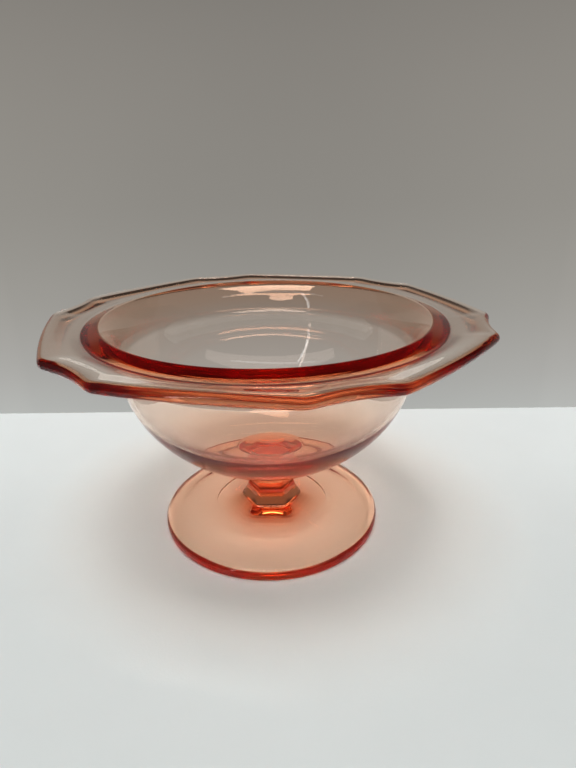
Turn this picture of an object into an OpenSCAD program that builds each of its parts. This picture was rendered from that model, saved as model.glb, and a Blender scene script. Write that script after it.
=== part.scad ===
/* [Mouth] */
// Diameter across the crest of the raised ring round the mouth
mouth_d = 100; // [98.5:0.5:104]
// Height of that crest above the table
overall_h = 72.2; // [71:0.2:76]
// Slope of the ring's inner face at the crest, in degrees from level
lip_slope = 38; // [30:1:44]
// Radius that rounds the crest
crest_r = 1; // [0.6:0.1:1.4]
// Width of the ring's sloped outer face
ring_w = 4.35; // [3.5:0.05:5.5]
// Height that the outer face drops from the crest
ring_drop = 1.05; // [0.6:0.05:1.6]

/* [Cup] */
// Distance from the crest of the mouth ring in to the outside of the cup's upright wall
cup_in = 4; // [3:0.1:5]
// Height of the cup's underside where the stem joins it
seat_z = 22.2; // [20:0.2:24]
// Glass thickness at the top of the wall
wall_t = 2.3; // [1.8:0.1:3]
// Glass thickness at the bottom of the cup
floor_t = 5.5; // [4:0.1:7]
// Height of the hollow shoulder between the wall and the rim's underside
shoulder_h = 8; // [5:0.1:9]

/* [Rim] */
// Number of scallops round the rim
lobes = 6; // [5:1:8]
// Width of the rim beyond the mouth ring at the middle of a long side
side_w = 10.55; // [9:0.05:12]
// Width of the rim at the middle of a short hollow
hollow_w = 11.35; // [9.5:0.05:12.5]
// Width of the rim where a side and a hollow meet, before the corner is rounded
corner_w = 13.55; // [12.8:0.05:15]
// Angle that one short hollow takes, in degrees
hollow_angle = 18.6; // [16:0.2:24]
// Glass thickness of the rim beside the mouth ring
rim_t = 2.7; // [2:0.1:3]
// Glass thickness at the rounded outer edge
edge_t = 2.9; // [2.4:0.1:3.4]
// Depth of the edge's crown below the crest of the mouth ring
edge_below = 0.05; // [0.05:0.05:0.6]

/* [Stem] */
// Number of sides of the stem and its collar
stem_sides = 6; // [5:1:8]
// Angle that the stem's corners stand past the rim's hollows, in degrees
stem_turn = 12; // [0:1:30]
// Radius of the stem's round top, under the cup
stem_top_r = 11; // [10:0.2:13]
// Corner radius at the stem's waist
waist_r = 7.8; // [6.6:0.1:9]
// Height of the waist above the table
waist_z = 13.6; // [12.6:0.2:15]
// Corner radius at the bottom of the stem's flare
flare_r = 10.1; // [9.2:0.1:11]
// Corner radius at the bottom of the collar
collar_r = 17.5; // [15:0.1:19]
// Height of the collar
collar_h = 3.3; // [2.4:0.1:4]

/* [Foot] */
// Diameter of the round foot
foot_d = 73.5; // [68:0.5:80]
// Thickness of the foot at its edge
foot_edge_t = 3.5; // [3.2:0.1:4.2]
// Height of the foot's top where the collar stands
foot_top_z = 4.8; // [4.6:0.1:5.4]
// Width of the flat ring that rests on the table
rest_w = 3; // [2:0.2:5]
// Rise of the hollow underside at its middle
hollow_rise = 1.4; // [0.6:0.1:1.8]

/* [Hidden] */

// Colours of the glass, thicker sections being deeper
pale_glass = [0.93, 0.72, 0.66];
deep_glass = [0.86, 0.5, 0.42];

// Steps that curves are drawn with
curve_steps = 24;
fillet_steps = 8;
$fn = 180;
level = 0;
upright = 90;
back = 180;

// Mouth ring, as radii and heights
mouth_r = mouth_d / 2;
cup_r = mouth_r - cup_in;
inner_r = cup_r - wall_t;
ring_r = mouth_r + ring_w;
ring_z = overall_h - ring_drop;
under_z = ring_z - rim_t;
ring_slope = atan(ring_drop / ring_w);

// The inner face is an arc that leaves the wall upright and meets the crest at lip_slope
lip_r = (mouth_r - crest_r * sin(lip_slope) - inner_r) / (1 - sin(lip_slope));
turn_z = overall_h - crest_r * (1 - cos(lip_slope)) - lip_r * cos(lip_slope);

// The cup's outside is a quarter ellipse that ends upright at wall_z, and is flat where the stem joins
wall_z = under_z - shoulder_h;
shoulder_w = ring_r - cup_r;
seat_angle = acos(stem_top_r / cup_r);
cup_fall = (wall_z - seat_z) / sin(seat_angle);
inner_fall = turn_z - seat_z - floor_t;

// How full a curve is: 1 is a straight slope, 2 an ellipse, and more is squarer
ellipse_power = 2;
inner_power = 2.3;
shoulder_power = 1.2;

// Rim outline and section
side_r = ring_r + side_w;
hollow_r = ring_r + hollow_w;
corner_r = ring_r + corner_w;
lobe_angle = 360 / lobes;
side_angle = lobe_angle - hollow_angle;
corner_soft = 0.45;
edge_rx = 1.7;
edge_rz = edge_t / 2;
crown_z = overall_h - edge_below;
edge_z = crown_z - edge_rz;
trough_share = 0.3;
hollow_steps = 8;
side_steps = 16;
top_steps = 8;

// Stem and collar
collar_z = foot_top_z + collar_h;
step_h = 0.6;
step_out = 0.3;
stem_steps = 14;
side_points = 8;
stem_soft = 0.3;

// Foot
foot_r = foot_d / 2;
foot_low_r = 0.8;
foot_high_r = 1.6;
hollow_under_r = foot_r - foot_low_r - rest_w;
hollow_power = 6;

// A cosine or sine raised so that its arc gets the given fullness
function filled(v, power) = sign(v) * pow(abs(v), ellipse_power / power);

// Points of an arc from angle a to angle b about a centre, with radii rx and rz
function arc(cx, cz, rx, rz, a, b, steps, first = 0, power = ellipse_power) =
    [for (i = [first : steps])
        let (t = a + (b - a) * i / steps)
        [cx + rx * filled(cos(t), power), cz + rz * filled(sin(t), power)]];

// Eased step from 0 to 1
function eased(t) = let (u = min(1, max(0, t))) u * u * (3 - 2 * u);

// The length a, rounded over the length soft where it meets the length b
function met(a, b, soft) = a - soft * ln(1 + exp(-abs(a - b) / soft));

// Point of an upright section turned to an azimuth
function turned(p, azimuth) = [p[0] * cos(azimuth), p[0] * sin(azimuth), p[1]];

// Radius of the rim's outline at an azimuth: shallow hollows and long sides that meet in corners
function outline_r(azimuth) =
    let (
        from_hollow = abs(azimuth - round(azimuth / lobe_angle) * lobe_angle),
        from_side = lobe_angle / 2 - from_hollow,
        hollow = hollow_r + (corner_r - hollow_r) * pow(2 * from_hollow / hollow_angle, 2),
        side = side_r + (corner_r - side_r) * pow(2 * from_side / side_angle, 2)
    )
    from_hollow < hollow_angle / 2 ? met(hollow, side, corner_soft) : met(side, hollow, corner_soft);

// Azimuths of the rim's sections, closer across the hollows, with one at every corner
rim_azimuths = [
    for (lobe = [0 : lobes - 1])
        let (start = lobe * lobe_angle - hollow_angle / 2)
        each concat(
            [for (i = [0 : hollow_steps - 1]) start + hollow_angle * i / hollow_steps],
            [for (i = [0 : side_steps - 1]) start + hollow_angle + side_angle * i / side_steps]
        )
];

// Height of the rim's upper face: level beside the ring, then rising to the crown of the edge
function rim_top_z(share) =
    ring_z + (crown_z - ring_z) * eased((share - trough_share) / (1 - trough_share));

// One section of the rim as [radius, height] points, out along the top and back underneath
function rim_section(outer_r) =
    let (roll_r = outer_r - edge_rx)
    concat(
        [for (i = [0 : top_steps - 1])
            let (share = i / top_steps)
            [ring_r + (roll_r - ring_r) * share, rim_top_z(share)]],
        arc(roll_r, edge_z, edge_rx, edge_rz, upright, -upright, fillet_steps),
        [[ring_r, under_z]]
    );

// Radius at an azimuth of a polygon with softened corners, which roundness 1 turns into a circle
function sided_r(corner, azimuth, roundness) =
    let (
        half_side = back / stem_sides,
        from_turn = azimuth - stem_turn,
        from_corner = from_turn - round(from_turn / half_side / 2) * half_side * 2,
        across = corner * cos(half_side),
        one = across / cos(from_corner + half_side),
        other = across / cos(from_corner - half_side),
        sided = met(min(one, other), max(one, other), stem_soft)
    )
    sided + (corner - sided) * roundness;

// Level ring of the stem or the collar at a height
function sided_ring(corner, z, roundness = 0) =
    let (count = stem_sides * side_points)
    [for (i = [0 : count - 1])
        let (azimuth = stem_turn + 2 * back * i / count)
        turned([sided_r(corner, azimuth, roundness), z], azimuth)];

// Corner radius of the stem at a height: it flares away from the waist both ways
function stem_r(z) =
    z < waist_z
        ? waist_r + (flare_r - waist_r) * pow((waist_z - z) / (waist_z - collar_z), 2)
        : waist_r + (stem_top_r - waist_r) * pow((z - waist_z) / (seat_z - waist_z), 2);

// Two triangles between neighbouring points of two rings
function quad(a, b, c, d) = [[a, c, b], [b, c, d]];

// Closed solid swept through upright sections, the last of which joins the first
module swept(sections) {
    n = len(sections);
    m = len(sections[0]);
    polyhedron(
        points = [for (section = sections) each section],
        faces = [for (i = [0 : n - 1], j = [0 : m - 1])
            let (next = (i + 1) % n, k = (j + 1) % m)
            each quad(i * m + j, i * m + k, next * m + j, next * m + k)]
    );
}

// Solid through level rings from the lowest to the highest, with flat ends
module stacked(rings) {
    n = len(rings);
    m = len(rings[0]);
    polyhedron(
        points = [for (ring = rings) each ring],
        faces = concat(
            [[for (j = [0 : m - 1]) j]],
            [for (i = [0 : n - 2], j = [0 : m - 1])
                let (k = (j + 1) % m)
                each quad(i * m + j, i * m + k, i * m + m + j, i * m + m + k)],
            [[for (j = [m - 1 : -1 : 0]) (n - 1) * m + j]]
        )
    );
}

// Cup, from the seat of the stem up to where the lip begins
module cup() {
    color(pale_glass)
        rotate_extrude()
            polygon(concat(
                [[0, seat_z]],
                arc(0, wall_z, cup_r, -cup_fall, seat_angle, level, curve_steps),
                arc(0, turn_z, inner_r, -inner_fall, level, upright, curve_steps, 0, inner_power)
            ));
}

// Thick ring round the mouth: inner lip, crest, sloped outer face and shoulder
module mouth_ring() {
    color(deep_glass)
        rotate_extrude()
            polygon(concat(
                arc(inner_r + lip_r, turn_z, lip_r, lip_r, back, upright + lip_slope, curve_steps),
                arc(mouth_r, overall_h - crest_r, crest_r, crest_r,
                    upright + lip_slope, upright - ring_slope, fillet_steps, 1),
                [[ring_r, ring_z], [ring_r, under_z]],
                arc(ring_r, wall_z, shoulder_w, shoulder_h, upright, back, fillet_steps, 1, shoulder_power)
            ));
}

// Wide scalloped rim with a rounded edge
module rim() {
    color(pale_glass)
        swept([for (azimuth = rim_azimuths)
            [for (p = rim_section(outline_r(azimuth))) turned(p, azimuth)]]);
}

// Short faceted stem, round where it meets the cup
module stem() {
    color(deep_glass)
        stacked([for (i = [0 : stem_steps])
            let (z = collar_z + (seat_z - collar_z) * i / stem_steps)
            sided_ring(stem_r(z), z, eased((z - waist_z) / (seat_z - waist_z)))]);
}

// Low faceted collar that the stem stands on
module collar() {
    color(deep_glass)
        stacked([
            sided_ring(collar_r, foot_top_z),
            sided_ring(flare_r + step_out, collar_z - step_h),
            sided_ring(flare_r, collar_z)
        ]);
}

// Round foot, hollow underneath within a flat resting ring
module foot() {
    color(pale_glass)
        rotate_extrude()
            polygon(concat(
                [for (i = [0 : curve_steps])
                    let (share = i / curve_steps)
                    [hollow_under_r * share, hollow_rise * (1 - pow(share, hollow_power))]],
                arc(foot_r - foot_low_r, foot_low_r, foot_low_r, foot_low_r, -upright, level, fillet_steps),
                arc(foot_r - foot_high_r, foot_edge_t - foot_high_r, foot_high_r, foot_high_r,
                    level, upright, fillet_steps),
                [[collar_r, foot_top_z], [0, foot_top_z]]
            ));
}

cup();
mouth_ring();
rim();
stem();
collar();
foot();
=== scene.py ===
import bpy
import numpy as np
from mathutils import Matrix, Vector


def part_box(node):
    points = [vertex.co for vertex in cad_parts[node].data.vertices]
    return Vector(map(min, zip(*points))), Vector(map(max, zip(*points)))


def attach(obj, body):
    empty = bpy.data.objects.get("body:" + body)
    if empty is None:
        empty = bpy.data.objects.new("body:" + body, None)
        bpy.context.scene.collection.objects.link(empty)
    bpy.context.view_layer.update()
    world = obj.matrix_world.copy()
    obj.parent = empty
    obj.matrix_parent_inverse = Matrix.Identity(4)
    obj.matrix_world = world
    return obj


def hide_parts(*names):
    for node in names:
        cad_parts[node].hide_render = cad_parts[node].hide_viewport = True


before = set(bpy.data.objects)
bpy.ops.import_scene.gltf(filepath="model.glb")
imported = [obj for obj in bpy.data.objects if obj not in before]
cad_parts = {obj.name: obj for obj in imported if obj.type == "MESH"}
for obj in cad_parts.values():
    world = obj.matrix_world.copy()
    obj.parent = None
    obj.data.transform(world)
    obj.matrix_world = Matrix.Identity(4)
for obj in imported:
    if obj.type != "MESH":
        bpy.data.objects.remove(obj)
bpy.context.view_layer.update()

# Corners of the CAD nodes' boxes, in metres
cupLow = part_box("cup")[0]
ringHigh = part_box("mouth_ring")[1]
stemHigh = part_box("stem")[1]
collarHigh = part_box("collar")[1]
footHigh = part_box("foot")[1]

# Degrees from the photograph's frame to the CAD frame
bowlTurn = 12


# Camera: the photograph's viewing angle

viewSizes = {
    "place": (0.00625, -0.16025, 0.11348),  # before the turn, from the foot's middle
    "down": 22.18,                          # degrees below level
    "roll": -0.65,
    "lens": 24.89,                          # millimetres on a 36 mm long side
    "sensor": 36,
    "nearest": 0.005,
}


def addCamera(sizes):
    # right, up and forward axes: pitched down about X, rolled about the line of sight, then turned about Z
    down = np.radians(sizes["down"])
    forward = Vector((0, np.cos(down), -np.sin(down)))
    right = Vector((1, 0, 0))
    turn = Matrix.Rotation(np.radians(bowlTurn), 4, "Z")
    roll = Matrix.Rotation(-np.radians(sizes["roll"]), 4, forward)
    right = roll @ right
    up = right.cross(forward)
    place = Matrix.Translation(Vector(sizes["place"]))
    axes = Matrix((right, up, -forward)).transposed().to_4x4()
    data = bpy.data.cameras.new("photoCamera")
    data.sensor_width = sizes["sensor"]
    data.lens = sizes["lens"]
    data.clip_start = sizes["nearest"]
    camera = bpy.data.objects.new("photoCamera", data)
    bpy.context.collection.objects.link(camera)
    camera.matrix_world = turn @ place @ axes
    bpy.context.scene.camera = camera


addCamera(viewSizes)


# Bowl: one closed skin of glass, its section carried round the axis

footSizes = {
    "underRise": 0.0014,      # rise of the hollow underside at its middle
    "underPower": 6,          # how long that hollow stays level before it falls to the resting ring
    "restWidth": 0.003,       # flat ring that stands on the table
    "lowRound": 0.0008,
    "highRound": 0.0016,
    "edgeThickness": 0.0035,
    "roundShare": 0.6,        # share of the way from the edge to the collar that is fully round
}

collarSizes = {
    "sides": 6,
    "turn": 12,               # degrees that its corners and the stem's stand past the rim's hollows
    "stepOut": 0.0003,        # the step's foot beyond the stem's flare
    "stepHeight": 0.0006,
    "cornerSoft": 0.0006,     # where the stem's flare ends
    "softGrowth": 2.4,        # power of the radius that the softness grows with
    "blend": 0.005,           # hollow fillet between the collar and the foot
    "fillet": 0.0003,
}

stemSizes = {
    "waist": 0.0078,          # corner radius at the waist
    "waistZ": 0.0136,
    "flare": 0.0101,          # corner radius where the stem leaves the collar
}

cupSizes = {
    "inset": 0.004,           # from the crest of the mouth ring in to the upright wall
    "wall": 0.0023,
    "floor": 0.0055,
    "innerPower": 2.3,        # how full the inside's curve is, where 2 is an ellipse
    "shoulder": 0.008,        # height of the hollow shoulder between the wall and the rim's underside
    "shoulderPower": 1.2,     # where 1 is a straight slope and 2 an ellipse
}

ringSizes = {
    "width": 0.00435,
    "drop": 0.00105,
    "crestRound": 0.001,
    "lipSlope": 38,           # degrees from level where the lip meets the crest
}

rimSizes = {
    "lobes": 6,
    "side": 0.01055,          # widths beyond the mouth ring
    "hollow": 0.01135,
    "corner": 0.01355,
    "hollowAngle": 18.6,
    "cornerSoft": 0.00048,
    "thickness": 0.0027,
    "edgeThickness": 0.0029,
    "edgeRound": 0.0017,
    "edgeBelow": 0.00005,
    "troughShare": 0.3,
}

meshSizes = {
    "columns": 288,
    "fineSteps": 36001,
    "closer": 4.5,            # how much closer columns stand at a corner of the rim
    "stemShare": 0.5,         # share of that at a corner of the stem
    "closeAngle": 2.2,        # degrees over which they do
}

# Stations along each stretch of the section, and how they crowd on two of them
stationCounts = {
    "underside": 22,
    "rest": 5,
    "lowRound": 7,
    "highRound": 10,
    "footTop": 26,
    "bend": 6,
    "collar": 26,
    "stem": 37,
    "cup": 52,
    "shoulder": 22,
    "rimUnder": 12,
    "rimEdge": 18,
    "rimTop": 19,
    "ringSlope": 6,
    "crest": 9,
    "lip": 22,
    "inside": 50,
}
undersideCrowding = 0.8
footTopCrowding = 1.6


def eased(t):
    # 0 below 0, 1 above 1, and 3t^2 - 2t^3 between
    u = np.clip(t, 0, 1)
    return u * u * (3 - 2 * u)


def met(a, b, soft):
    # the length a, rounded over soft where it meets the length b
    return a - soft * np.log1p(np.exp(-np.abs(a - b) / soft))


def fromNearest(azimuth, step):
    # signed angle to the nearest multiple of step
    return azimuth - np.round(azimuth / step) * step


def columnAzimuths(sizes, rim):
    # columns stand where the running sum of a density takes even steps; it peaks at each corner
    fine = np.linspace(0, 360, sizes["fineSteps"])
    lobe = 360 / rim["lobes"]
    fromHollow = np.abs(fromNearest(fine, lobe))
    fromCorner = fromHollow - rim["hollowAngle"] / 2
    fromStem = fromNearest(fine - collarSizes["turn"], 360 / collarSizes["sides"])
    width = sizes["closeAngle"]
    atStem = sizes["stemShare"] * np.exp(-(fromStem / width) ** 2)
    density = 1 + sizes["closer"] * (np.exp(-(fromCorner / width) ** 2) + atStem)
    total = np.concatenate([[0], np.cumsum(0.5 * (density[1:] + density[:-1]))])
    even = np.arange(sizes["columns"]) * total[-1] / sizes["columns"]
    return np.interp(even, total, fine)


def outlineRadius(azimuth, sizes, ringR):
    # hollows and long sides are parabolas in azimuth, met in softened corners
    lobe = 360 / sizes["lobes"]
    fromHollow = np.abs(fromNearest(azimuth, lobe))
    fromSide = lobe / 2 - fromHollow
    sideAngle = lobe - sizes["hollowAngle"]
    corner, soft = sizes["corner"], sizes["cornerSoft"]
    hollow = sizes["hollow"] + (corner - sizes["hollow"]) * (2 * fromHollow / sizes["hollowAngle"]) ** 2
    side = sizes["side"] + (corner - sizes["side"]) * (2 * fromSide / sideAngle) ** 2
    inHollow = fromHollow < sizes["hollowAngle"] / 2
    return ringR + np.where(inHollow, met(hollow, side, soft), met(side, hollow, soft))


def sidedRadius(corner, azimuth, roundness, sizes):
    # radius of a polygon with corners softer farther out, which roundness 1 turns into a circle
    half = 180 / sizes["sides"]
    fromCorner = fromNearest(azimuth - sizes["turn"], 2 * half)
    across = corner * np.cos(np.radians(half))
    one = across / np.cos(np.radians(fromCorner + half))
    other = across / np.cos(np.radians(fromCorner - half))
    soft = sizes["cornerSoft"] * (corner / stemSizes["flare"]) ** sizes["softGrowth"]
    sided = met(np.minimum(one, other), np.maximum(one, other), soft)
    return sided + (corner - sided) * roundness


def straight(fromR, fromZ, toR, toZ, steps):
    # even steps from one point towards the next, which the following piece begins with
    s = np.arange(steps)[:, None] / steps
    return fromR + (toR - fromR) * s, fromZ + (toZ - fromZ) * s


def arc(centreR, centreZ, radiusR, radiusZ, start, end, steps, power=2):
    # centre + radius times cosine and sine of an angle from start towards end, each to the power 2 / power
    t = np.radians(start + (end - start) * np.arange(steps)[:, None] / steps)
    across, along = [np.sign(v) * np.abs(v) ** (2 / power) for v in (np.cos(t), np.sin(t))]
    return centreR + radiusR * across, centreZ + radiusZ * along


def cornered(points, fillets, steps):
    # straight legs through the points, with each inner corner a parabola from one leg to the next
    points = np.array(points, float)
    legs = np.diff(points, axis=0)
    unit = legs / np.linalg.norm(legs, axis=1)[:, None]
    t = np.linspace(0, 1, steps)[:, None]
    bends = [(1 - t) ** 2 * (p - a * f) + 2 * t * (1 - t) * p + t ** 2 * (p + b * f)
             for p, a, b, f in zip(points[1:-1], unit[:-1], unit[1:], fillets)]
    return np.concatenate([points[:1]] + bends + [points[-1:]])


def resampled(path, steps):
    # even steps in length along a path, the last one left for the piece that follows
    length = np.concatenate([[0], np.cumsum(np.linalg.norm(np.diff(path, axis=0), axis=1))])
    even = np.arange(steps) * length[-1] / steps
    return np.interp(even, length, path[:, 0]), np.interp(even, length, path[:, 1])


def bowlSection(azimuth):
    # stations of the section at every azimuth, from the middle of the underside out, up and back in
    az = azimuth[None, :]
    foot, collar, stem, cup, ring, rim = footSizes, collarSizes, stemSizes, cupSizes, ringSizes, rimSizes
    count = stationCounts
    low, high = foot["lowRound"], foot["highRound"]
    footR = footHigh.x
    restOut = footR - low
    restIn = restOut - foot["restWidth"]
    footTop = footHigh.z
    highR = footR - high
    highZ = foot["edgeThickness"] - high
    pieces = []

    # underside: rise times 1 - share^power, then the resting ring and the foot's rounded edge
    share = np.linspace(0, 1, count["underside"])[1:-1, None] ** undersideCrowding
    pieces.append((restIn * share, foot["underRise"] * (1 - share ** foot["underPower"])))
    pieces.append(straight(restIn, 0, restOut, 0, count["rest"]))
    pieces.append(arc(restOut, low, low, low, -90, 0, count["lowRound"]))
    pieces.append(arc(highR, highZ, high, high, 0, 90, count["highRound"]))

    # foot's top, the collar and the stem's flare, as corner radii that one polygon follows
    collarZ = collarHigh.z
    collarR = collarHigh.x
    seatZ = cupLow.z
    stemTopR = stemHigh.x
    top = 1 - np.linspace(1, 0, count["footTop"])[:-1, None] ** footTopCrowding
    blendR = collarR + collar["blend"]
    fall = (footTop - foot["edgeThickness"]) / (highR - collarR)
    cornerR = highR + (blendR - highR) * top
    roundness = 1 - eased((top - foot["roundShare"]) / (1 - foot["roundShare"]))
    topR = sidedRadius(cornerR, az, roundness, collar)
    topZ = foot["edgeThickness"] + fall * (highR - topR)
    pieces.append((topR, topZ))
    stepZ = collarZ - collar["stepHeight"]
    path = cornered(
        [(blendR, footTop - fall * collar["blend"]), (collarR, footTop),
         (stem["flare"] + collar["stepOut"], stepZ), (stem["flare"], collarZ),
         (stem["flare"] - collar["fillet"], collarZ + collar["fillet"])],
        [collar["blend"], collar["fillet"], collar["fillet"]], count["bend"])
    pathR, pathZ = resampled(path, count["collar"])
    pieces.append((sidedRadius(pathR[:, None], az, 0, collar), pathZ[:, None]))

    # stem: the corner radius grows with the square of the distance from the waist, both ways
    z = np.linspace(collarZ + collar["fillet"], seatZ, count["stem"])[:-1, None]
    waist, waistZ = stem["waist"], stem["waistZ"]
    below = waist + (stem["flare"] - waist) * ((waistZ - z) / (waistZ - collarZ)) ** 2
    above = waist + (stemTopR - waist) * ((z - waistZ) / (seatZ - waistZ)) ** 2
    stemR = np.where(z < waistZ, below, above)
    roundness = eased((z - waistZ) / (seatZ - waistZ))
    pieces.append((sidedRadius(stemR, az, roundness, collar), z))

    # cup's outside: a quarter ellipse up to the wall, then the hollow shoulder out to the rim's underside
    overall = ringHigh.z
    mouthR = ringHigh.x - ring["width"]
    cupR = mouthR - cup["inset"]
    innerR = cupR - cup["wall"]
    ringR = ringHigh.x
    ringZ = overall - ring["drop"]
    underZ = ringZ - rim["thickness"]
    crest = ring["crestRound"]
    sine = np.sin(np.radians(ring["lipSlope"]))
    cosine = np.cos(np.radians(ring["lipSlope"]))
    lipR = (mouthR - crest * sine - innerR) / (1 - sine)
    turnZ = overall - crest * (1 - cosine) - lipR * cosine
    wallZ = underZ - cup["shoulder"]
    seatAngle = np.degrees(np.arccos(stemTopR / cupR))
    cupFall = (wallZ - seatZ) / np.sin(np.radians(seatAngle))
    pieces.append(arc(0, wallZ, cupR, -cupFall, seatAngle, 0, count["cup"]))
    pieces.append(arc(ringR, wallZ, ringR - cupR, cup["shoulder"], 180, 90,
                      count["shoulder"], cup["shoulderPower"]))

    # rim: straight underneath, rolled at its edge, and eased down to the mouth ring on top
    crownZ = overall - rim["edgeBelow"]
    edgeRz = rim["edgeThickness"] / 2
    rollR = outlineRadius(az, rim, ringR) - rim["edgeRound"]
    pieces.append(straight(ringR, underZ, rollR, crownZ - rim["edgeThickness"], count["rimUnder"]))
    pieces.append(arc(rollR, crownZ - edgeRz, rim["edgeRound"], edgeRz, -90, 90, count["rimEdge"]))
    share = np.linspace(1, 0, count["rimTop"])[:-1, None]
    topZ = ringZ + (crownZ - ringZ) * eased((share - rim["troughShare"]) / (1 - rim["troughShare"]))
    pieces.append((ringR + (rollR - ringR) * share, topZ))

    # mouth ring: sloped outside, a rounded crest, and a lip that turns down into the wall
    slope = np.degrees(np.arctan(ring["drop"] / ring["width"]))
    crestZ = overall - crest
    startR = mouthR + crest * np.cos(np.radians(90 - slope))
    startZ = crestZ + crest * np.sin(np.radians(90 - slope))
    pieces.append(straight(ringR, ringZ, startR, startZ, count["ringSlope"]))
    pieces.append(arc(mouthR, crestZ, crest, crest, 90 - slope, 90 + ring["lipSlope"], count["crest"]))
    pieces.append(arc(innerR + lipR, turnZ, lipR, lipR, 90 + ring["lipSlope"], 180, count["lip"]))
    pieces.append(arc(0, turnZ, innerR, -(turnZ - seatZ - cup["floor"]), 0, 90,
                      count["inside"], cup["innerPower"]))

    radius = np.concatenate([np.broadcast_to(r, (len(z), az.size)) for r, z in pieces])
    height = np.concatenate([np.broadcast_to(z, (len(z), az.size)) for r, z in pieces])
    return radius, height, foot["underRise"], seatZ + cup["floor"]


def makeBowl(name):
    # vertices are radius times cosine and sine of the azimuth, with one vertex at either pole
    azimuth = columnAzimuths(meshSizes, rimSizes)
    radius, height, lowPole, highPole = bowlSection(azimuth)
    turn = np.radians(azimuth)[None, :]
    grid = np.stack([radius * np.cos(turn), radius * np.sin(turn), height], axis=-1)
    stations, columns = radius.shape
    vertices = np.concatenate([grid.reshape(-1, 3), [[0, 0, lowPole], [0, 0, highPole]]])
    i = np.arange(stations - 1)[:, None] * columns
    j = np.arange(columns)[None, :]
    k = (j + 1) % columns
    quads = np.stack([i + j, i + k, i + columns + k, i + columns + j], axis=-1).reshape(-1, 4)
    first, last = stations * columns, stations * columns + 1
    rim = (stations - 1) * columns
    j, k = j.ravel(), k.ravel()
    lowFan = np.stack([np.full(columns, first), k, j], axis=-1)
    highFan = np.stack([rim + j, rim + k, np.full(columns, last)], axis=-1)
    mesh = bpy.data.meshes.new(name)
    mesh.from_pydata(vertices.tolist(), [], quads.tolist() + lowFan.tolist() + highFan.tolist())
    mesh.polygons.foreach_set("use_smooth", np.ones(len(mesh.polygons), bool))
    mesh.update()
    piece = bpy.data.objects.new(name, mesh)
    bpy.context.collection.objects.link(piece)
    print(name, "has", stations, "stations,", columns, "columns,", 2 * len(quads) + 2 * columns, "triangles")
    return piece


bowl = makeBowl("glass_bowl")
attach(bowl, "root")
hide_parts("cup", "mouth_ring", "rim", "stem", "collar", "foot")


# Glass

glassLook = {
    "ior": 1.5,
    "depthColour": (0.94, 0.43, 0.06, 1),
    "depthDensity": 90,       # per metre, times 1 - colour
    "polish": 0.004,          # roughness where the glass is clean
    "smudge": 0.02,           # more where it has been handled
    "wear": 0.1,              # more on the ring that stands on tables
    "ripple": 0.00004,        # height of the waves that pressing leaves
}


def addNode(tree, kind, at, **inputs):
    node = tree.nodes.new(kind)
    node.location = at
    for key, value in inputs.items():
        node.inputs[key.replace("_", " ")].default_value = value
    return node


def between(tree, source, low, high, at):
    # 0 below low, 1 above high and eased between
    span = addNode(tree, "ShaderNodeMapRange", at, From_Min=low, From_Max=high)
    span.interpolation_type = "SMOOTHSTEP"
    tree.links.new(source, span.inputs[0])
    return span.outputs[0]


surfaceLook = {
    "rippleScale": 70,        # waves 14 mm across
    "rippleDetail": 1,
    "handledScale": 40,       # smudges 25 mm across
    "handledDetail": 4,
    "handledBend": 0.6,
    "smudgeFrom": 0.52,
    "smudgeFull": 0.72,
    "scratchScale": 900,
    "scratchDetail": 3,
    "wearFrom": 0.35,
    "wearFull": 0.65,
    "wearTop": 0.0005,        # height that the wear reaches, in metres
}


def pressedSurface(name, look):
    # ripple: a noise; smudge: the eased top of a noise; wear: a noise times 1 at the table to 0 at wearTop
    group = bpy.data.node_groups.new(name, "ShaderNodeTree")
    for socket in ("Ripple", "Smudge", "Wear"):
        group.interface.new_socket(socket, in_out="OUTPUT", socket_type="NodeSocketFloat")
    out = addNode(group, "NodeGroupOutput", (600, 0))
    place = addNode(group, "ShaderNodeTexCoord", (-600, 0))
    ripple = addNode(group, "ShaderNodeTexNoise", (-300, 300),
                     Scale=look["rippleScale"], Detail=look["rippleDetail"])
    handled = addNode(group, "ShaderNodeTexNoise", (-300, 0), Scale=look["handledScale"],
                      Detail=look["handledDetail"], Distortion=look["handledBend"])
    scratched = addNode(group, "ShaderNodeTexNoise", (-300, -300),
                        Scale=look["scratchScale"], Detail=look["scratchDetail"])
    split = addNode(group, "ShaderNodeSeparateXYZ", (-300, -600))
    for node in (ripple, handled, scratched, split):
        group.links.new(place.outputs["Object"], node.inputs[0])
    smudge = between(group, handled.outputs[0], look["smudgeFrom"], look["smudgeFull"], (0, 0))
    low = between(group, split.outputs["Z"], look["wearTop"], 0, (0, -600))
    worn = between(group, scratched.outputs[0], look["wearFrom"], look["wearFull"], (0, -300))
    wear = addNode(group, "ShaderNodeMath", (300, -400))
    wear.operation = "MULTIPLY"
    group.links.new(low, wear.inputs[0])
    group.links.new(worn, wear.inputs[1])
    group.links.new(ripple.outputs[0], out.inputs["Ripple"])
    group.links.new(smudge, out.inputs["Smudge"])
    group.links.new(wear.outputs[0], out.inputs["Wear"])
    return group


def scaled(tree, source, factor, added, at):
    # source times factor, plus added, which is a number or another socket
    node = addNode(tree, "ShaderNodeMath", at)
    node.operation = "MULTIPLY_ADD"
    tree.links.new(source, node.inputs[0])
    node.inputs[1].default_value = factor
    if isinstance(added, bpy.types.NodeSocket):
        tree.links.new(added, node.inputs[2])
    else:
        node.inputs[2].default_value = added
    return node.outputs[0]


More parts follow.
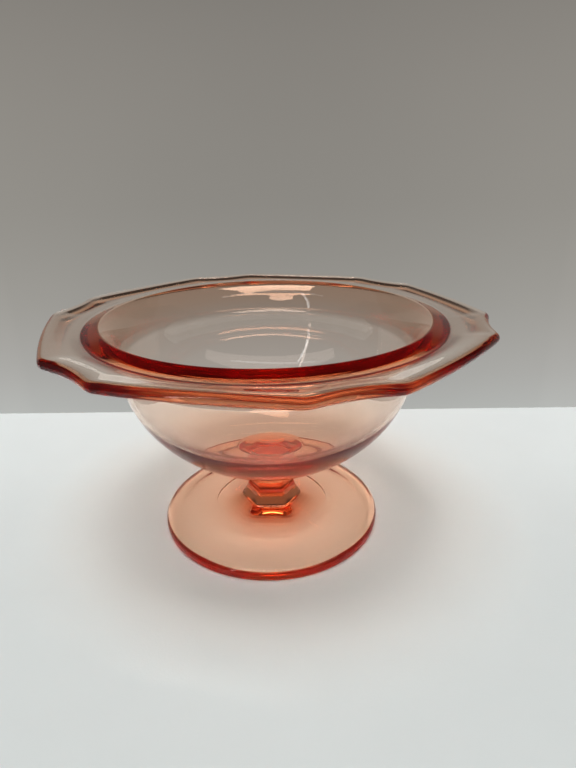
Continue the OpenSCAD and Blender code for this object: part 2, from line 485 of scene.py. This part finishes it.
def glassMaterial(name, look, surface):
    # roughness = polish + smudge and wear by their patterns; the colour is all in the depth of the glass
    material = bpy.data.materials.new(name)
    material.use_nodes = True
    tree = material.node_tree
    tree.nodes.clear()
    out = addNode(tree, "ShaderNodeOutputMaterial", (600, 0))
    shader = addNode(tree, "ShaderNodeBsdfPrincipled", (300, 0), IOR=look["ior"])
    shader.inputs["Base Color"].default_value = (1, 1, 1, 1)
    shader.inputs["Transmission Weight"].default_value = 1
    detail = addNode(tree, "ShaderNodeGroup", (-600, 0))
    detail.node_tree = surface
    smudged = scaled(tree, detail.outputs["Smudge"], look["smudge"], look["polish"], (-300, 100))
    rough = scaled(tree, detail.outputs["Wear"], look["wear"], smudged, (0, 100))
    bump = addNode(tree, "ShaderNodeBump", (0, -200), Distance=look["ripple"])
    tree.links.new(detail.outputs["Ripple"], bump.inputs["Height"])
    tree.links.new(rough, shader.inputs["Roughness"])
    tree.links.new(bump.outputs[0], shader.inputs["Normal"])
    volume = addNode(tree, "ShaderNodeVolumeAbsorption", (300, -400),
                     Color=look["depthColour"], Density=look["depthDensity"])
    tree.links.new(shader.outputs[0], out.inputs["Surface"])
    tree.links.new(volume.outputs[0], out.inputs["Volume"])
    return material


surface = pressedSurface("pressedSurface", surfaceLook)
bowl.data.materials.append(glassMaterial("pinkPressedGlass", glassLook, surface))
print("the glass is made")


# Table, wall and light

stageSizes = {
    "tableBack": 0.083,       # the table's far edge, behind the bowl's axis
    "tableSide": 0.9,
    "tableFront": 0.9,
    "tableThick": 0.02,
    "tableGap": 0.00005,      # air between the resting ring and the table
    "wallBack": 0.9,
    "wallSide": 2.0,
    "wallHigh": 1.6,
    "wallThick": 0.02,
}


def rampAlong(tree, coordinate, axis, low, high, tones, at):
    # a colour ramp over one axis of a coordinate, between two of its values
    place = addNode(tree, "ShaderNodeTexCoord", (at - 800, 0))
    split = addNode(tree, "ShaderNodeSeparateXYZ", (at - 600, 0))
    span = addNode(tree, "ShaderNodeMapRange", (at - 400, 0), From_Min=low, From_Max=high)
    ramp = addNode(tree, "ShaderNodeValToRGB", (at - 200, 0))
    while len(ramp.color_ramp.elements) < len(tones):
        ramp.color_ramp.elements.new(1)
    for element, (value, colour) in zip(ramp.color_ramp.elements, tones):
        element.position = (value - low) / (high - low)
        element.color = (*colour, 1)
    tree.links.new(place.outputs[coordinate], split.inputs[0])
    tree.links.new(split.outputs[axis], span.inputs[0])
    tree.links.new(span.outputs[0], ramp.inputs[0])
    return ramp


tableWhiteAndPaintedLight = [(-0.08, (0.705, 0.74, 0.73)), (-0.04, (0.725, 0.76, 0.75)), (-0.01, (0.765, 0.8, 0.79)),
              (0.03, (0.86, 0.9, 0.89)), (0.08, (0.92, 0.96, 0.95))]  # depth and colour: the laminate's white with painted light, painted shade nearer the camera and paler farther away


tableLook = {
    "near": -0.1,             # the stretch of depth that the tones cover
    "far": 0.1,
    "mottleScale": 45,
    "mottleDepth": 0.03,
    "gloss": 0.3,             # roughness where the mottling is 0
    "glossVaries": 0.12,
    "grainScale": 1500,
    "grainDetail": 2,
    "grainHeight": 0.00002,
}

mottleDetail = 3
mottleRoughness = 0.55


def mottled(tree, colour, look, at):
    # a colour times 1 - mottleDepth to 1, by a soft noise
    place = addNode(tree, "ShaderNodeTexCoord", (at - 600, -300))
    noise = addNode(tree, "ShaderNodeTexNoise", (at - 400, -300),
                    Scale=look["mottleScale"], Detail=mottleDetail, Roughness=mottleRoughness)
    tree.links.new(place.outputs["Object"], noise.inputs[0])
    grey = scaled(tree, noise.outputs[0], look["mottleDepth"], 1 - look["mottleDepth"], (at - 200, -300))
    mixed = addNode(tree, "ShaderNodeVectorMath", (at, -100))
    mixed.operation = "SCALE"
    tree.links.new(colour, mixed.inputs[0])
    tree.links.new(grey, mixed.inputs["Scale"])
    return mixed.outputs[0], noise.outputs[0]


def tableMaterial(name, tones, look):
    # white laminate: a ramp over depth that holds painted light, duller near the camera as painted shade and
    # paler farther away, times a mottling that also varies its gloss
    material = bpy.data.materials.new(name)
    material.use_nodes = True
    tree = material.node_tree
    shader = tree.nodes["Principled BSDF"]
    ramp = rampAlong(tree, "Object", "Y", look["near"], look["far"], tones, -300)
    colour, noise = mottled(tree, ramp.outputs[0], look, -100)
    rough = scaled(tree, noise, look["glossVaries"], look["gloss"], (-100, -500))
    place = addNode(tree, "ShaderNodeTexCoord", (-700, -700))
    grain = addNode(tree, "ShaderNodeTexNoise", (-400, -700),
                    Scale=look["grainScale"], Detail=look["grainDetail"])
    bump = addNode(tree, "ShaderNodeBump", (-100, -700), Distance=look["grainHeight"])
    tree.links.new(colour, shader.inputs["Base Color"])
    tree.links.new(rough, shader.inputs["Roughness"])
    tree.links.new(place.outputs["Object"], grain.inputs[0])
    tree.links.new(grain.outputs[0], bump.inputs["Height"])
    tree.links.new(bump.outputs[0], shader.inputs["Normal"])
    return material


def slab(name, low, high, material):
    # a box between two corners, turned with the bowl
    across, along, upward = zip(low, high)
    corners = [(x, y, z) for x in across for y in along for z in upward]
    faces = [(0, 1, 3, 2), (4, 6, 7, 5), (0, 4, 5, 1), (2, 3, 7, 6), (0, 2, 6, 4), (1, 5, 7, 3)]
    mesh = bpy.data.meshes.new(name)
    mesh.from_pydata(corners, [], faces)
    piece = bpy.data.objects.new(name, mesh)
    piece.rotation_euler.z = np.radians(bowlTurn)
    bpy.context.collection.objects.link(piece)
    piece.data.materials.append(material)


wallPaintedLight = [(-0.42, (0.45, 0.465, 0.45)), (-0.3, (0.39, 0.385, 0.37)), (-0.15, (0.335, 0.325, 0.303)),
             (0.05, (0.283, 0.272, 0.25)), (0.4, (0.272, 0.256, 0.234)), (0.5, (0.08, 0.075, 0.07)),
             (0.7, (0.05, 0.045, 0.04))]  # height and colour of the painted light, brighter low down as if the table lit it, dark above what the camera sees
wallPaintedShade = [(-0.55, (1, 1, 1)), (0, (0.84, 0.84, 0.84)), (0.55, (1, 1, 1))]  # across, painted shade, darker behind the bowl

wallLook = {
    "low": -0.8,              # the heights and the width that the tones and the shade cover
    "high": 0.8,
    "side": 0.6,
    "mottleScale": 2.5,
    "mottleDepth": 0.06,
}


def glowingWallMaterial(name, tones, shade, look):
    # wall that glows though it is no lamp: painted light by height, brighter near the table as if the table
    # lit it, times a painted shade across it, times a faint mottling
    material = bpy.data.materials.new(name)
    material.use_nodes = True
    tree = material.node_tree
    tree.nodes.clear()
    out = addNode(tree, "ShaderNodeOutputMaterial", (400, 0))
    glow = addNode(tree, "ShaderNodeEmission", (200, 0))
    ramp = rampAlong(tree, "Object", "Z", look["low"], look["high"], tones, 0)
    ramp.color_ramp.interpolation = "B_SPLINE"
    across = rampAlong(tree, "Object", "X", -look["side"], look["side"], shade, -900)
    across.color_ramp.interpolation = "B_SPLINE"
    shaded = addNode(tree, "ShaderNodeVectorMath", (0, 300))
    shaded.operation = "MULTIPLY"
    tree.links.new(ramp.outputs[0], shaded.inputs[0])
    tree.links.new(across.outputs[0], shaded.inputs[1])
    colour = mottled(tree, shaded.outputs[0], look, 0)[0]
    tree.links.new(colour, glow.inputs["Color"])
    tree.links.new(glow.outputs[0], out.inputs["Surface"])
    return material


s = stageSizes
slab("tableTop",
     (-s["tableSide"], -s["tableFront"], -s["tableThick"]),
     (s["tableSide"], s["tableBack"], -s["tableGap"]),
     tableMaterial("whiteTable", tableWhiteAndPaintedLight, tableLook))
# The back wall is not lit by the lamps: its glow is painted light and painted shade
slab("backWall",
     (-s["wallSide"], s["wallBack"], -s["wallHigh"]),
     (s["wallSide"], s["wallBack"] + s["wallThick"], s["wallHigh"]),
     glowingWallMaterial("glowingGreyWall", wallPaintedLight, wallPaintedShade, wallLook))
print("the table and wall stand")


def areaLight(name, place, aim, size, power, mirrored=True):
    # a soft rectangle of light at a place, facing its aim, both turned with the bowl; some cast no highlight
    turn = Matrix.Rotation(np.radians(bowlTurn), 3, "Z")
    data = bpy.data.lights.new(name, "AREA")
    data.shape = "RECTANGLE"
    data.size, data.size_y = size
    data.energy = power
    light = bpy.data.objects.new(name, data)
    bpy.context.collection.objects.link(light)
    light.visible_glossy = mirrored
    light.location = turn @ Vector(place)
    facing = turn @ (Vector(aim) - Vector(place))
    light.rotation_euler = facing.to_track_quat("-Z", "Y").to_euler()


# The strip and the tube give the two highlights inside the bowl
areaLight("ceiling", place=(-0.05, -0.2, 2.2), aim=(0, 0, 0), size=(1.2, 0.8), power=25, mirrored=False)
areaLight("front", place=(0, -1.35, 1.45), aim=(0, 0, 0.05), size=(6, 0.5), power=14, mirrored=False)
areaLight("strip", place=(-0.1, -1.2, 1.85), aim=(0, 0, 0.05), size=(3, 0.1), power=1.8)
areaLight("tube", place=(-0.95, -1.28, 1.0), aim=(0, 0, 1.0), size=(0.07, 1.9), power=2)

roomTones = [(-90, 0.1), (-8, 0.12), (0, 0.17), (30, 0.16), (50, 0.18), (90, 0.2)]  # elevation and grey


def roomWorld(tones):
    # a dim room whose brightness follows the sine of the elevation
    world = bpy.data.worlds.new("room")
    world.use_nodes = True
    tree = world.node_tree
    steps = [(np.sin(np.radians(elevation)), (grey, grey, grey)) for elevation, grey in tones]
    ramp = rampAlong(tree, "Generated", "Z", -1, 1, steps, 0)
    tree.links.new(ramp.outputs[0], tree.nodes["Background"].inputs["Color"])
    bpy.context.scene.world = world


roomWorld(roomTones)
print("the room is lit")

# Light that enters the foot's edge is mirrored many times before it leaves
bounces = 256

bpy.context.scene.view_settings.view_transform = "Standard"
bpy.context.scene.view_settings.look = "Medium High Contrast"
bpy.context.scene.cycles.max_bounces = bounces
bpy.context.scene.cycles.transmission_bounces = bounces
bpy.context.scene.cycles.glossy_bounces = bounces
bpy.context.scene.cycles.blur_glossy = 0
